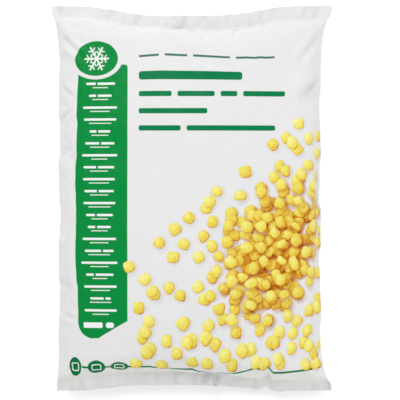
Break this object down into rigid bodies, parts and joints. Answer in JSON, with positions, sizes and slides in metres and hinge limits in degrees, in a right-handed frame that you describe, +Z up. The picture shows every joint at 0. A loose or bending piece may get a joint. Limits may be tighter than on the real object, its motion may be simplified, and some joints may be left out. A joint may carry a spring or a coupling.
{
  "type": "frozen vegetable bag",
  "caption": "Filled plastic pillow bag of frozen sweetcorn lying flat, welded across both ends, with a printed front.",
  "frame": {"origin": "middle of the underside of the bag's bounding box, on the surface that the bag lies on", "axes": "+X across the bag, +Y along it towards its top seal, +Z up out of its printed front"},
  "size_m": [0.2886, 0.397, 0.06],
  "materials": {
    "printed_film": "soft gloss white film, printed with a green strip and yellow kernels"
  },
  "bodies": {
    "root": {"bag": "printed_film"}
  },
  "joints": []
}
